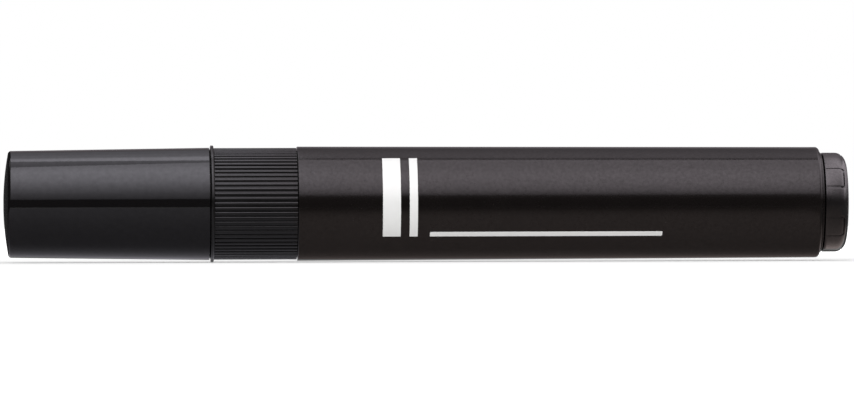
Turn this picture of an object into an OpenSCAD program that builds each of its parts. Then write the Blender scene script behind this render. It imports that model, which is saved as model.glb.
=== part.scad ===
// Capped permanent marker: a bulky chisel-tip marker that lies on its side, cap to -X and end plug to +X.
// Every piece is drawn along the marker's own axis, with stations measured from the closed end of the cap,
// and is then laid down so that the flange touches the surface below.

/* [Overall] */
// Diameter of the barrel at its front edge
barrel_d = 18.05; // [15:0.05:22]
// Length of the barrel from its front edge to the end of its neck
barrel_len = 83.4; // [60:0.1:110]
// Length of the cap from its closed end to its mouth
cap_len = 32.5; // [27:0.1:42]

/* [Cap] */
// Step from the barrel's surface in to the cap's mouth
cap_step = 0.15; // [0.05:0.05:0.5]
// How much the cap's diameter falls from its mouth to its closed end
cap_taper = 0.85; // [0.2:0.05:1.4]
// Rise of the domed closed end
cap_dome = 0.8; // [0.3:0.05:1.2]
// Radius of the edge round the closed end
cap_edge_r = 0.5; // [0.2:0.05:0.8]
// Thickness of the closed end at its middle
cap_end_wall = 2.1; // [1.6:0.1:3]
// Wall of the cap at its mouth
cap_wall = 1; // [0.8:0.05:1.4]
// Wall of the cap round the liner
cap_chamber_wall = 1.25; // [1:0.05:1.6]

/* [Cap liner] */
// Wall of the liner's cup
liner_wall = 0.7; // [0.5:0.05:0.85]
// Thickness of the liner's closed end
liner_end_wall = 0.8; // [0.5:0.1:1.2]
// Rings that hold the liner in the cap
liner_rings = 3; // [2:1:5]
// Width of a ring
liner_ring_w = 1.1; // [0.7:0.1:1.5]
// Length of the lip that seals on the nose
liner_lip_len = 1.6; // [1:0.1:2.4]
// How far the liner's bore is cut back behind its lip
liner_relief = 0.1; // [0.05:0.05:0.2]

/* [Grip section] */
// Length of the ribbed grip
grip_len = 13.2; // [9:0.1:20]
// Step from the barrel's surface in to the crests of the ribs
grip_step = 0.2; // [0.1:0.05:0.5]
// Number of ribs round the grip
rib_count = 70; // [40:1:74]
// Width of a rib
rib_w = 0.52; // [0.3:0.02:0.56]
// Height of a rib
rib_h = 0.28; // [0.16:0.02:0.3]
// Radius of a rib's crest
rib_crest_r = 0.45; // [0.3:0.05:1]
// Plain band left between the ends of the ribs and the pieces beside them
rib_back = 0.1; // [0.05:0.05:0.5]
// Thickness of the flange that stops the cap
flange_t = 0.5; // [0.4:0.05:1]
// How far the flange stands out past the barrel's surface
flange_proud = 0.22; // [0.05:0.01:0.6]
// Step from the spigot in to the nose
nose_step = 2.3; // [1.8:0.1:2.5]
// Length of the straight nose
nose_len = 6.5; // [4.5:0.1:8]
// Length of the slope between the nose and the spigot
nose_slope_len = 2.2; // [1.5:0.1:3]
// Height of the bead that holds the cap
bead_h = 0.07; // [0.03:0.01:0.08]
// Length of the bead along the spigot
bead_len = 1.4; // [0.8:0.1:2]
// Distance from the middle of the bead back to the flange
bead_back = 3.3; // [1.5:0.1:6]
// Length of the skirt that the barrel is pressed onto
skirt_len = 11; // [6:0.5:16]
// Wall of the skirt
skirt_wall = 1.1; // [0.8:0.05:1.5]
// Wall of the tube round the nib
nib_tube_wall = 1.2; // [0.8:0.05:1.3]
// How far the nib tube runs back past the flange
nib_tube_reach = 3.5; // [1:0.1:8]
// Width of the two air slots beside the nib
vent_w = 0.8; // [0.5:0.1:1.4]
// Depth of an air slot
vent_h = 0.45; // [0.2:0.05:0.6]

/* [Nib] */
// Width of the nib
nib_w = 4.6; // [3.6:0.1:4.9]
// Thickness of the nib
nib_t = 3.4; // [2.6:0.1:3.6]
// Radius of the nib's long edges
nib_corner_r = 0.6; // [0.3:0.05:1]
// Length of nib that stands out of the nose
nib_out = 6; // [5:0.1:7.2]
// Slant of the writing edge
nib_slant = 30; // [0:1:35]
// Thickness of the writing edge
nib_edge_t = 1.5; // [0.8:0.1:2]
// Radius of the writing edge's two corners
nib_edge_r = 0.35; // [0.1:0.05:0.4]
// Length of the bevels behind the writing edge
nib_bevel_len = 2; // [1:0.1:2.2]
// Length of nib that runs into the reservoir
nib_tail_len = 6; // [4:0.5:10]
// Length of the point on the nib's tail
nib_point_len = 2.4; // [1:0.1:3.5]
// Radius of the blunt end of that point
nib_point_r = 0.85; // [0.4:0.05:1.2]
// Clear length between the nib and the liner's closed end
nib_room = 5; // [4.6:0.1:7]

/* [Barrel] */
// How much the barrel's diameter falls from its front edge to its shoulder
barrel_taper = 0.55; // [0.1:0.05:1]
// Wall of the barrel
barrel_wall = 1.3; // [1:0.05:1.5]
// Step from the barrel's rear in to its neck
shoulder_step = 0.85; // [0.6:0.05:1]
// Length of the sloping shoulder
shoulder_len = 0.54; // [0.4:0.02:1.5]
// Radius between the barrel and its shoulder
shoulder_r = 0.73; // [0.4:0.01:0.8]
// Length of the neck
neck_len = 0.57; // [0.4:0.01:1.5]
// Wall of the neck
neck_wall = 1.2; // [0.9:0.05:1.4]
// Ribs inside the barrel that centre the reservoir
guide_count = 6; // [3:1:8]
// Thickness of a guide rib
guide_t = 0.8; // [0.6:0.1:1.4]
// Distance from a guide rib's ends to the pieces pressed into the barrel
guide_back = 1; // [0.5:0.1:5]

/* [End plug] */
// Length of the plug's head
plug_len = 3.6; // [3:0.1:6]
// Step from the neck in to the plug's head
plug_step = 0.05; // [0.03:0.01:0.3]
// Radius of the head's rear edge
plug_edge_r = 1.75; // [0.8:0.05:2]
// Thickness of the head's closed end
plug_end_wall = 2.4; // [1.8:0.1:2.8]
// Panels round the head, each outlined by a groove
panel_count = 6; // [3:1:8]
// Width of the land left between two panels
land_w = 4.6; // [2:0.1:5]
// Rim left behind the panels
panel_rim = 0.5; // [0.4:0.05:1]
// Radius of a panel's two rear corners
panel_corner_r = 0.45; // [0.35:0.05:0.8]
// Width of the groove round a panel
panel_groove_w = 0.25; // [0.15:0.01:0.3]
// Depth of that groove below the head's straight side
panel_groove_depth = 0.7; // [0.5:0.05:0.9]
// Length of the plug's skirt inside the barrel
plug_skirt_len = 9; // [6:0.5:14]
// Wall of the plug's skirt
plug_skirt_wall = 1; // [0.8:0.05:1.2]
// Height of the bead that holds the plug in the barrel
plug_bead_h = 0.2; // [0.1:0.05:0.35]
// Length of the slope in front of that bead
plug_bead_len = 1; // [0.6:0.1:2]
// Thickness of the cross that presses on the reservoir
cross_t = 1; // [0.8:0.1:1.6]
// How far the cross stands out of the skirt
cross_out = 1; // [0.5:0.1:3]

/* [Reservoir] */
// Thickness of the film round the reservoir
wrap_t = 0.15; // [0.1:0.01:0.3]
// Length of bare fibre at each end of the film
wrap_back = 1.2; // [0.5:0.1:3]

/* [Fits] */
// Gap between the cap's mouth and the flange
cap_gap = 0.15; // [0.1:0.05:0.5]
// Radial gap between the cap and the spigot
cap_clear = 0.12; // [0.1:0.01:0.2]
// Radial gap between the liner's lip and the nose
seal_clear = 0.05; // [0.03:0.01:0.1]
// Radial gap between pieces that are pressed together
press_clear = 0.04; // [0.03:0.01:0.06]
// Gap round the reservoir and at its ends
core_clear = 0.1; // [0.06:0.02:0.3]

/* [Hidden] */

$fn = 96;
// Degrees that one straight step of a rounded corner turns
arc_step = 11.25;
// Straight steps in the cap's dome
dome_steps = 10;
// How far a cutter runs past the solid that it cuts
past = 1;
// How far joined shapes run into each other
bite = 0.3;

// Colours
cap_colour = "#1b1b1e";
liner_colour = "#d8d6cc";
grip_colour = "#202022";
nib_colour = "#101012";
core_colour = "#26262c";
wrap_colour = "#c9cdd2";
barrel_colour = "#2a292a";
plug_colour = "#39393b";

// Small edges
fine_edge = 0.1;
soft_edge = 0.2;
lip_edge = 0.35;
lead_in = 0.5;
inner_corner_r = 0.8;

// Radii of the outer form
barrel_r = barrel_d / 2;
barrel_rear_r = barrel_r - barrel_taper / 2;
neck_r = barrel_rear_r - shoulder_step;
plug_r = neck_r - plug_step;
flange_r = barrel_r + flange_proud;
grip_r = barrel_r - grip_step;
rib_root_r = grip_r - rib_h;
rib_foot_r = rib_root_r - press_clear;
cap_mouth_r = barrel_r - cap_step;
cap_end_r = cap_mouth_r - cap_taper / 2;

// Radii of the cap and what it closes on
cap_bore_r = cap_mouth_r - cap_wall;
cap_chamber_r = cap_end_r - cap_chamber_wall;
spigot_r = cap_bore_r - cap_clear;
nose_r = spigot_r - nose_step;
liner_lip_r = nose_r + seal_clear;
liner_bore_r = liner_lip_r + liner_relief;
liner_r = liner_bore_r + liner_wall;

// Radii of the fits in the barrel
barrel_bore_r = barrel_r - barrel_wall;
barrel_rear_bore_r = barrel_rear_r - barrel_wall;
skirt_r = barrel_bore_r - press_clear;
skirt_bore_r = skirt_r - skirt_wall;
band_r = (rib_root_r + skirt_r) / 2;
neck_bore_r = neck_r - neck_wall;
plug_skirt_r = neck_bore_r - press_clear;
plug_bore_r = plug_skirt_r - plug_skirt_wall;
plug_bead_r = plug_skirt_r + plug_bead_h;
wrap_r = min(skirt_bore_r, neck_bore_r) - core_clear;
core_r = wrap_r - wrap_t - press_clear;
guide_r = wrap_r + core_clear;

// Width of a panel between two lands
panel_w = 2 * plug_r * sin(180 / panel_count - asin(land_w / 2 / plug_r));

// Radii round the nib
nib_reach_r = norm([nib_w / 2 - nib_corner_r, nib_t / 2 - nib_corner_r]) + nib_corner_r;
nib_tube_r = nib_reach_r + nib_tube_wall;
core_hole_r = nib_reach_r + core_clear;
nib_point_slope = (nib_reach_r - nib_point_r) / nib_point_len;

// Stations of the outer form
flange_s = cap_len + cap_gap;
grip_s = flange_s + flange_t;
barrel_s = grip_s + grip_len;
plug_s = barrel_s + barrel_len;
neck_s = plug_s - neck_len;
shoulder_s = neck_s - shoulder_len;
total_len = plug_s + plug_len;

// Stations inside the cap
liner_s = cap_end_wall + press_clear;
nib_tip_s = liner_s + liner_end_wall + nib_room;
nose_s = nib_tip_s + nib_out;
nose_end_s = nose_s + nose_len;
spigot_s = nose_end_s + nose_slope_len;
liner_end_s = nose_end_s - lead_in;
cap_bore_s = spigot_s - lead_in;
cap_chamber_s = cap_bore_s - cap_bore_r + cap_chamber_r;
bead_s = flange_s - bead_back;

// Stations inside the barrel
chamber_s = spigot_s + skirt_wall;
nib_tube_s = flange_s + nib_tube_reach;
core_s = nib_tube_s + core_clear;
nib_tail_s = core_s + nib_tail_len;
skirt_end_s = barrel_s + skirt_len;
ledge_s = shoulder_s - shoulder_step;
plug_skirt_s = plug_s - plug_skirt_len;
cross_s = plug_skirt_s - cross_out;
core_end_s = cross_s - core_clear;
plug_bead_s = ledge_s - press_clear;
plug_inner_s = total_len - plug_end_wall;
panel_end_s = total_len - panel_rim;

function unit(v) = v / norm(v);

// Points of the arc that rounds corner b between its neighbours a and c
function corner(a, b, c, r) =
    let (
        to_a = unit(a - b),
        to_c = unit(c - b),
        half = acos(to_a * to_c) / 2,
        reach = min(r / tan(half), norm(a - b) / 2, norm(c - b) / 2),
        arc_r = reach * tan(half),
        middle = b + unit(to_a + to_c) * arc_r / sin(half),
        first = b + to_a * reach - middle,
        last = b + to_c * reach - middle,
        turn = 180 - 2 * half,
        steps = ceil(turn / arc_step)
    )
    [for (i = [0:steps])
        middle + (sin(turn * (1 - i / steps)) * first + sin(turn * i / steps) * last) / sin(turn)];

// An outline's points, each [x, y] or [x, y, radius of its corner]
function rounded(points) =
    let (count = len(points), flat = [for (p = points) [p.x, p.y]])
    [for (i = [0:count - 1])
        each len(points[i]) < 3
            ? [flat[i]]
            : corner(flat[(i + count - 1) % count], flat[i], flat[(i + 1) % count], points[i][2])];

// Lays a piece down from its own axis onto the marker's place
module lay()
    translate([-total_len / 2, 0, flange_r]) rotate([0, 90, 0]) children();

// Turns an outline of [radius, station] points round the marker's axis
module turned(points)
    rotate_extrude() polygon(rounded(points));

// Copies a shape evenly round the axis
module around(count)
    for (i = [0:count - 1]) rotate(360 * i / count) children();

// Points of the cap's shallow dome, from its middle to just inside its edge
dome_r = (cap_end_r * cap_end_r + cap_dome * cap_dome) / (2 * cap_dome);
dome = [for (i = [0:dome_steps - 1])
    let (r = cap_end_r * i / dome_steps)
    [r, dome_r - sqrt(dome_r * dome_r - r * r)]];

module cap_shell()
    color(cap_colour) lay() turned(concat(
        dome,
        [
            [cap_end_r, cap_dome, cap_edge_r],
            [cap_mouth_r, cap_len, soft_edge],
            [cap_bore_r, cap_len, soft_edge],
            [cap_bore_r, cap_bore_s, soft_edge],
            [cap_chamber_r, cap_chamber_s, soft_edge],
            [cap_chamber_r, cap_end_wall, inner_corner_r],
            [0, cap_end_wall]
        ]
    ));

module cap_liner()
    color(liner_colour) lay() {
        ring_r = cap_chamber_r - press_clear;
        first_ring_s = liner_s + inner_corner_r;
        ring_pitch = (liner_end_s - liner_ring_w - first_ring_s) / (liner_rings - 1);
        turned([
            [0, liner_s],
            [liner_r, liner_s, inner_corner_r],
            [liner_r, liner_end_s, soft_edge],
            [liner_lip_r + lip_edge, liner_end_s],
            [liner_lip_r, liner_end_s - lip_edge],
            [liner_lip_r, liner_end_s - liner_lip_len],
            [liner_bore_r, liner_end_s - liner_lip_len - liner_wall],
            [liner_bore_r, liner_s + liner_end_wall, inner_corner_r],
            [0, liner_s + liner_end_wall]
        ]);
        for (i = [0:liner_rings - 1])
            turned([
                [liner_r - bite, first_ring_s + ring_pitch * i],
                [ring_r, first_ring_s + ring_pitch * i, soft_edge],
                [ring_r, first_ring_s + ring_pitch * i + liner_ring_w, soft_edge],
                [liner_r - bite, first_ring_s + ring_pitch * i + liner_ring_w]
            ]);
    }

// The nose, spigot, flange and skirt as one turned form, hollow round the nib tube
module grip_core()
    turned([
        [0, nose_s],
        [nose_r, nose_s, lead_in],
        [nose_r, nose_end_s, inner_corner_r],
        [spigot_r, spigot_s, lead_in],
        [spigot_r, bead_s - bead_len / 2],
        [spigot_r + bead_h, bead_s, bead_len],
        [spigot_r, bead_s + bead_len / 2],
        [spigot_r, flange_s],
        [flange_r, flange_s, flange_t / 2],
        [flange_r, grip_s, flange_t / 2],
        [band_r, grip_s],
        [band_r, barrel_s],
        [skirt_r, barrel_s],
        [skirt_r, skirt_end_s, lead_in],
        [skirt_bore_r, skirt_end_s, soft_edge],
        [skirt_bore_r, chamber_s + nose_slope_len, inner_corner_r],
        [nib_tube_r, chamber_s, inner_corner_r],
        [nib_tube_r, nib_tube_s, soft_edge],
        [0, nib_tube_s]
    ]);

// A rib's section: a rounded crest between two straight flanks
module rib_section()
    intersection() {
        translate([grip_r - rib_crest_r, 0]) circle(rib_crest_r);
        translate([rib_root_r - bite, -rib_w / 2]) square([rib_h + bite + past, rib_w]);
    }

// The ribbed band, with a rib facing the front and the ends of the ribs sloped off
module grip_ribs()
    intersection() {
        translate([0, 0, grip_s]) linear_extrude(grip_len)
            difference() {
                union() {
                    circle(rib_root_r);
                    rotate(90) around(rib_count) rib_section();
                }
                circle(rib_root_r - skirt_wall);
            }
        turned([
            [skirt_r - skirt_wall, grip_s - past],
            [rib_foot_r, grip_s - past],
            [rib_foot_r, grip_s + rib_back],
            [flange_r, grip_s + rib_back + flange_r - rib_foot_r],
            [flange_r, barrel_s - rib_back - flange_r + rib_foot_r],
            [rib_foot_r, barrel_s - rib_back],
            [rib_foot_r, barrel_s + past],
            [skirt_r - skirt_wall, barrel_s + past]
        ]);
    }

// The nib's section grown by a gap: straight sides with round long edges
module nib_section(gap = 0) {
    square([nib_w + gap * 2, nib_t - nib_corner_r * 2], center = true);
    square([nib_w - nib_corner_r * 2, nib_t + gap * 2], center = true);
    for (x = [-1, 1], y = [-1, 1])
        translate([x * (nib_w / 2 - nib_corner_r), y * (nib_t / 2 - nib_corner_r)])
            circle(nib_corner_r + gap);
}

module grip_section()
    color(grip_colour) lay() difference() {
        union() {
            grip_core();
            grip_ribs();
        }
        translate([0, 0, nose_s - past]) linear_extrude(nib_tube_s - nose_s + past * 2) {
            nib_section(press_clear);
            square([vent_w, nib_t + vent_h * 2], center = true);
        }
    }

// The writing end: a slanted wedge, wide along X and bevelled on both flat sides
module nib_chisel()
    translate([-nib_w / 2, 0, nib_tip_s]) rotate([0, -nib_slant, 0]) rotate([90, 0, 90])
        linear_extrude(total_len, center = true) polygon(rounded([
            [-nib_edge_t / 2, 0, nib_edge_r],
            [nib_edge_t / 2, 0, nib_edge_r],
            [nib_t / 2 + press_clear, nib_bevel_len],
            [nib_t / 2 + press_clear, total_len],
            [-nib_t / 2 - press_clear, total_len],
            [-nib_t / 2 - press_clear, nib_bevel_len]
        ]));

module nib()
    color(nib_colour) lay() intersection() {
        translate([0, 0, nib_tip_s - past]) linear_extrude(nib_tail_s - nib_tip_s + past * 2) nib_section();
        nib_chisel();
        turned([
            [0, nib_tip_s - past],
            [nib_reach_r + past, nib_tip_s - past],
            [nib_reach_r + past, nib_tail_s - nib_point_len - past / nib_point_slope],
            [nib_point_r, nib_tail_s],
            [0, nib_tail_s]
        ]);
    }

module reservoir_core()
    color(core_colour) lay() turned([
        [0, nib_tail_s + core_clear],
        [nib_point_r + core_clear, nib_tail_s + core_clear],
        [core_hole_r, nib_tail_s - nib_point_len + core_clear],
        [core_hole_r, core_s],
        [core_r, core_s, lead_in],
        [core_r, core_end_s, lead_in],
        [0, core_end_s]
    ]);

module reservoir_wrap()
    color(wrap_colour) lay() turned([
        [wrap_r - wrap_t, core_s + wrap_back],
        [wrap_r, core_s + wrap_back],
        [wrap_r, core_end_s - wrap_back],
        [wrap_r - wrap_t, core_end_s - wrap_back]
    ]);

module barrel()
    color(barrel_colour) lay() {
        guide_s = skirt_end_s + guide_back;
        guide_end_s = plug_skirt_s - guide_back;
        turned([
            [barrel_bore_r, barrel_s, soft_edge],
            [barrel_r, barrel_s, fine_edge],
            [barrel_rear_r, shoulder_s, shoulder_r],
            [neck_r, neck_s],
            [neck_r, plug_s, fine_edge],
            [neck_bore_r, plug_s, soft_edge],
            [neck_bore_r, ledge_s],
            [barrel_rear_bore_r, ledge_s - shoulder_step, shoulder_r],
            [barrel_bore_r, skirt_end_s + lead_in]
        ]);
        around(guide_count)
            translate([guide_r, -guide_t / 2, guide_s])
                cube([barrel_bore_r - guide_r + bite, guide_t, guide_end_s - guide_s]);
    }

// A panel's outline, open towards the barrel and drawn in by an inset
module panel_outline(inset = 0)
    polygon(rounded([
        [inset - panel_w / 2, plug_s - past - inset],
        [panel_w / 2 - inset, plug_s - past - inset],
        [panel_w / 2 - inset, panel_end_s - inset, panel_corner_r - inset],
        [inset - panel_w / 2, panel_end_s - inset, panel_corner_r - inset]
    ]));

// The grooves round the panels, with a land facing the front
module panel_grooves()
    difference() {
        rotate(90 + 180 / panel_count) around(panel_count)
            rotate([90, 0, 90]) linear_extrude(plug_r + past)
                difference() {
                    panel_outline();
                    panel_outline(panel_groove_w);
                }
        cylinder(r = plug_r - panel_groove_depth, h = total_len + past);
    }

module end_plug()
    color(plug_colour) lay() {
        difference() {
            turned([
                [0, total_len],
                [plug_r, total_len, plug_edge_r],
                [plug_r, plug_s, fine_edge],
                [plug_skirt_r, plug_s],
                [plug_skirt_r, plug_bead_s],
                [plug_bead_r, plug_bead_s - lead_in],
                [plug_skirt_r, plug_bead_s - lead_in - plug_bead_len],
                [plug_skirt_r, plug_skirt_s, lead_in],
                [plug_bore_r, plug_skirt_s, soft_edge],
                [plug_bore_r, plug_inner_s, inner_corner_r],
                [0, plug_inner_s]
            ]);
            panel_grooves();
        }
        for (turn = [0, 90])
            rotate(turn) translate([-plug_bore_r - bite, -cross_t / 2, cross_s])
                cube([(plug_bore_r + bite) * 2, cross_t, plug_inner_s - cross_s + bite]);
    }

cap_shell();
cap_liner();
grip_section();
nib();
reservoir_core();
reservoir_wrap();
barrel();
end_plug();
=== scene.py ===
import math

import bmesh
import bpy
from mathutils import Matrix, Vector


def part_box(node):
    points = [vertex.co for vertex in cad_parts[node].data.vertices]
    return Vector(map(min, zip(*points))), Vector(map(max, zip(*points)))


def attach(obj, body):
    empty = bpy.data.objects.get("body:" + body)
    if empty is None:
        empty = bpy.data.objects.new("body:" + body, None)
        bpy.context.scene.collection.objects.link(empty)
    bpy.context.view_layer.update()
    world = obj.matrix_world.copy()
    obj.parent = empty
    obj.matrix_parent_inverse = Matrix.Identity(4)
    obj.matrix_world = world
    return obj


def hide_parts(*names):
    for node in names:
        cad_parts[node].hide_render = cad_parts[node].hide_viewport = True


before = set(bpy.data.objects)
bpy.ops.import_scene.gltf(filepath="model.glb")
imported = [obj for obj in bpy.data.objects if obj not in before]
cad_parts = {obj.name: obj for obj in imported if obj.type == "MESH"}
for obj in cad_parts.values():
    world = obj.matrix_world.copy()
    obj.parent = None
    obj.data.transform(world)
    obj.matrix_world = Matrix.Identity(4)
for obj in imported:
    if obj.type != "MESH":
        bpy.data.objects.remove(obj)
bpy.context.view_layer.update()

# Barrel: the tapered tube that the hand holds, moulded in black polypropylene with a fine spark-eroded
# grain. Its open front is pressed onto the grip's skirt, and its shoulder and neck take the end plug.
mm = 0.001
touch = 0.001 * mm
close_by = 0.01 * mm
turn_steps = 192
barrel_low, barrel_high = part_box("barrel")
axis_z = (barrel_low.z + barrel_high.z) / 2
barrel_r = (barrel_high.z - barrel_low.z) / 2
barrel_front = barrel_low.x
barrel_end = barrel_high.x - 0.35 * mm
barrel_rear_r = barrel_r - 0.275 * mm
barrel_bore_r = barrel_r - 1.3 * mm
barrel_rear_bore_r = barrel_rear_r - 1.3 * mm
neck_r = barrel_rear_r - 0.85 * mm
neck_bore_r = neck_r - 1.2 * mm
neck_x = barrel_end - 0.22 * mm
shoulder_x = neck_x - 0.1 * mm
ledge_x = neck_x - 1.39 * mm
skirt_end = barrel_front + 11 * mm
guide_count = 6
guide_t = 0.8 * mm
guide_r = barrel_bore_r - 1.14 * mm


def pick(piece, kind, wanted, of_chosen=False):
    """Select only those corners, edges or faces, of all or the chosen ones, whose middle passes a test."""
    bpy.ops.mesh.select_mode(type=kind)
    mesh = bmesh.from_edit_mesh(piece.data)
    items = {"VERT": mesh.verts, "EDGE": mesh.edges, "FACE": mesh.faces}[kind]
    items = [item for item in items if item.select or not of_chosen]
    bpy.ops.mesh.select_all(action="DESELECT")
    for item in items:
        corners = [item] if kind == "VERT" else item.verts
        middle = sum((corner.co for corner in corners), Vector()) / len(corners)
        if wanted(middle):
            item.select_set(True)
    bmesh.update_edit_mesh(piece.data)


def draw_chain(name, places):
    """Draw a new piece's section as a chain of edges from place to place, left in edit mode."""
    bpy.ops.object.select_all(action="DESELECT")
    bpy.ops.mesh.primitive_plane_add(size=mm, location=places[0])
    bpy.ops.object.transform_apply(location=True, rotation=False, scale=False)
    piece = bpy.context.object
    piece.name = piece.data.name = name
    bpy.ops.object.mode_set(mode="EDIT")
    bpy.ops.mesh.select_mode(type="VERT")
    bpy.ops.mesh.select_all(action="SELECT")
    bpy.ops.mesh.merge(type="CENTER")
    for here, there in zip(places, places[1:]):
        bpy.ops.mesh.extrude_region_move(TRANSFORM_OT_translate={"value": there - here})
    return piece


def round_corner(piece, last, here, following, corner_r):
    """Round one corner of a drawn chain to a radius, in steps of about ten degrees."""
    half = (last - here).angle(following - here) / 2
    pick(piece, "VERT", lambda place: (place - here).length < touch)
    steps = max(2, round((math.pi - 2 * half) / math.radians(10)))
    bpy.ops.mesh.bevel(offset=corner_r / math.tan(half), segments=steps, affect="VERTICES")


def tidy_mesh():
    """Merge the doubles that a spin or a copy leaves, then turn every face outwards."""
    bpy.ops.mesh.select_all(action="SELECT")
    bpy.ops.mesh.remove_doubles(threshold=0.0005 * mm)
    bpy.ops.mesh.normals_make_consistent(inside=False)


def turn(name, outline, closed=True, angle=math.tau, steps=turn_steps):
    """Draw a wall's outline of (x, radius, corner radius) points and spin it round the marker's axis."""
    places = [Vector((x, 0, axis_z + r)) for x, r, corner_r in outline]
    piece = draw_chain(name, places)
    if closed:
        ends = (places[0], places[-1])
        pick(piece, "VERT", lambda place: min((place - end).length for end in ends) < touch)
        bpy.ops.mesh.edge_face_add()
    for i, (x, r, corner_r) in enumerate(outline):
        if corner_r:
            round_corner(piece, places[i - 1], places[i], places[(i + 1) % len(places)], corner_r)
    bpy.ops.mesh.select_all(action="SELECT")
    bpy.ops.mesh.spin(steps=steps, angle=angle, center=(0, 0, axis_z), axis=(1, 0, 0))
    tidy_mesh()
    bpy.ops.object.mode_set(mode="OBJECT")
    return piece


def add_block(middle, size):
    """A new block of a size at a place, left in edit mode."""
    bpy.ops.object.select_all(action="DESELECT")
    bpy.ops.mesh.primitive_cube_add(size=1, location=middle, scale=size)
    bpy.ops.object.transform_apply(location=True, rotation=False, scale=True)
    bpy.ops.object.mode_set(mode="EDIT")
    return bpy.context.object


def copy_round(count):
    """Copy all that is drawn of a piece round the marker's axis, at even steps, to a count."""
    bpy.ops.mesh.select_all(action="SELECT")
    bpy.ops.mesh.spin(
        steps=count - 1, angle=math.tau * (count - 1) / count, dupli=True,
        center=(0, 0, axis_z), axis=(1, 0, 0),
    )


def choose(piece):
    """Make a piece the active one and the only one selected."""
    bpy.ops.object.select_all(action="DESELECT")
    bpy.context.view_layer.objects.active = piece
    piece.select_set(True)


def work(piece, kind, **settings):
    """Give the active piece a modifier with its settings and apply it."""
    bpy.ops.object.modifier_add(type=kind)
    modifier = piece.modifiers[-1]
    for setting, value in settings.items():
        setattr(modifier, setting, value)
    bpy.ops.object.modifier_apply(modifier=modifier.name)


def combine(piece, tool, how):
    """Join a tool piece to a piece, or cut it away, and remove the tool."""
    choose(piece)
    work(piece, "BOOLEAN", object=tool, operation=how, solver="EXACT")
    bpy.data.objects.remove(tool)


def fix_on(piece, body, node, material):
    """Smooth a finished piece but for its flat faces, give it its material and put it in its place."""
    choose(piece)
    bpy.ops.object.shade_smooth_by_angle(angle=math.radians(33))
    work(piece, "WEIGHTED_NORMAL", keep_sharp=True)
    piece.data.materials.clear()
    piece.data.materials.append(material)
    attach(piece, body)
    if node:
        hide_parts(node)


barrel = turn("barrel_tube", [
    (barrel_front, barrel_r, 0.1 * mm),
    (shoulder_x, barrel_rear_r, 0.55 * mm),
    (shoulder_x, neck_r, 0.08 * mm),
    (barrel_end, neck_r, 0.1 * mm),
    (barrel_end, neck_bore_r, 0.2 * mm),
    (ledge_x, neck_bore_r, 0),
    (ledge_x - 0.85 * mm, barrel_rear_bore_r, 0.7 * mm),
    (skirt_end + 0.5 * mm, barrel_bore_r, 0),
    (barrel_front, barrel_bore_r, 0.2 * mm),
])
guide_start = skirt_end + 1 * mm
guide_stop = barrel_high.x - 10 * mm
guide_top = barrel_rear_bore_r + 0.5 * mm
guide_middle = ((guide_start + guide_stop) / 2, 0, axis_z + (guide_r + guide_top) / 2)
guides = add_block(guide_middle, (guide_stop - guide_start, guide_t, guide_top - guide_r))
pick(guides, "EDGE", lambda place: place.z < axis_z + guide_r + close_by)
bpy.ops.mesh.bevel(offset=0.12 * mm, segments=2)
copy_round(guide_count)
bpy.ops.object.mode_set(mode="OBJECT")
combine(barrel, guides, "UNION")


def new_group(name, inputs, outputs):
    """An empty shader node group with number inputs and outputs, and its input and output nodes."""
    group = bpy.data.node_groups.new(name, "ShaderNodeTree")
    for label in inputs:
        group.interface.new_socket(label, in_out="INPUT", socket_type="NodeSocketFloat")
    for label in outputs:
        group.interface.new_socket(label, in_out="OUTPUT", socket_type="NodeSocketFloat")
    return group, group.nodes.new("NodeGroupInput"), group.nodes.new("NodeGroupOutput")


# The skin of a moulding: a fine even grain from the mould's surface, and the slow mottle of cooled plastic.
moulded_skin, skin_in, skin_out = new_group(
    "moulded_skin", ("Grains per metre", "Mottles per metre"), ("Grain", "Mottle"))
place = moulded_skin.nodes.new("ShaderNodeTexCoord")
for label, output, detail in (("Grains per metre", "Grain", 3), ("Mottles per metre", "Mottle", 2)):
    noise = moulded_skin.nodes.new("ShaderNodeTexNoise")
    noise.inputs["Detail"].default_value = detail
    noise.inputs["Roughness"].default_value = 0.6
    moulded_skin.links.new(place.outputs["Object"], noise.inputs["Vector"])
    moulded_skin.links.new(skin_in.outputs[label], noise.inputs["Scale"])
    moulded_skin.links.new(noise.outputs["Fac"], skin_out.inputs[output])


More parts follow.
